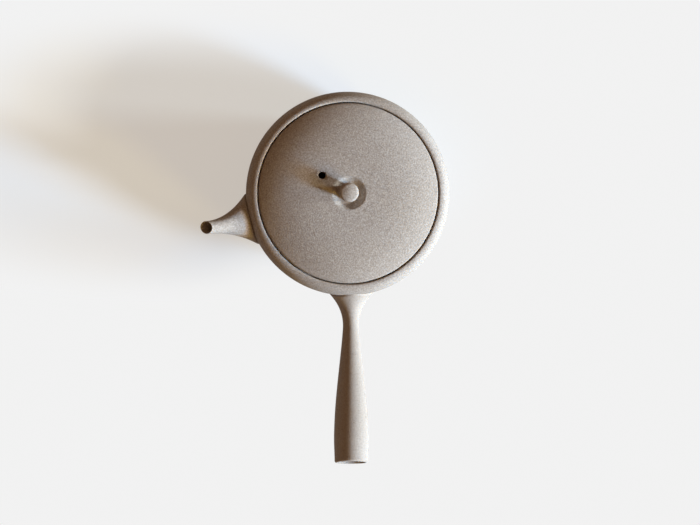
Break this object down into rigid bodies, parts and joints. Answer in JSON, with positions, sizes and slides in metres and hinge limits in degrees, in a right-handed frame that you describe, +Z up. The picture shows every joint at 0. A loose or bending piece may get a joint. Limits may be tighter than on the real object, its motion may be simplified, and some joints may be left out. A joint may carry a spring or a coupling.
{
  "type": "side-handled teapot",
  "caption": "Low round unglazed stoneware teapot with a short curved spout, a hollow side handle, a wide domed lid with a small waisted knob, and a pierced strainer inside.",
  "frame": {"origin": "on the table, under the pot's centre", "axes": "+Z up along the pot's axis; the handle runs along -Y; the spout points along -X, 13 degrees towards -Y"},
  "size_m": [0.1477, 0.221, 0.0756],
  "materials": {
    "bare_clay": "matt, finely sandy, unglazed",
    "strainer_clay": "matt, smooth, unglazed",
    "lid_clay": "matt, finely sandy, unglazed"
  },
  "bodies": {
    "pot": {"pot_body": "bare_clay", "spout": "bare_clay", "side_handle": "bare_clay", "tea_strainer": "strainer_clay"},
    "lid_assembly": {"lid": "lid_clay", "lid_knob": "lid_clay"}
  },
  "joints": [
    {"name": "lid_lift", "type": "slide", "parent": "pot", "child": "lid_assembly", "axis": [0, 0, 1], "range_m": [0, 0.1]}
  ]
}
